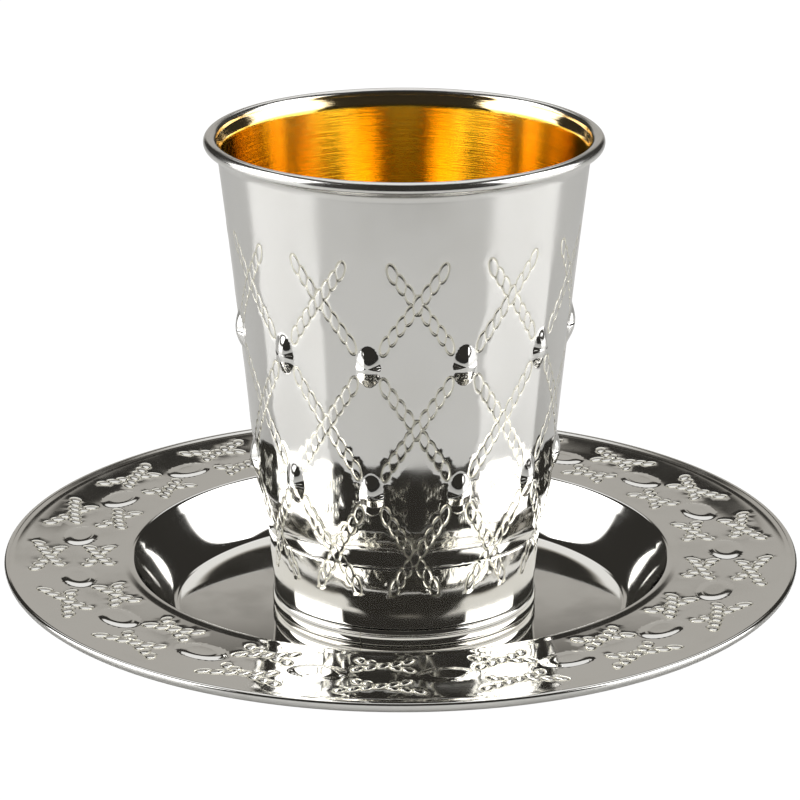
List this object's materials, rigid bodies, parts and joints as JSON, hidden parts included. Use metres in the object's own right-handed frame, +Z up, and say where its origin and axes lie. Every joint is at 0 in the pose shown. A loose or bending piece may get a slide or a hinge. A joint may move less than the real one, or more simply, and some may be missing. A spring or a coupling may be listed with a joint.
{
  "type": "kiddush cup",
  "caption": "Polished silver beaker with rope lattice ornament and gilt inside, standing on its matching saucer, used to hold wine for a blessing.",
  "frame": {"origin": "middle of the saucer's underside, on the surface the set stands on", "axes": "+Z up along the cup's and saucer's shared axis; -Y is the side that shows in front"},
  "size_m": [0.136, 0.136, 0.0839],
  "materials": {
    "cup_silver": "polished silver, gilt on the inside",
    "ring_silver": "polished silver wire",
    "saucer_silver": "polished silver"
  },
  "bodies": {
    "root": {"cup": "cup_silver", "foot_ring": "ring_silver", "saucer": "saucer_silver"}
  },
  "joints": []
}
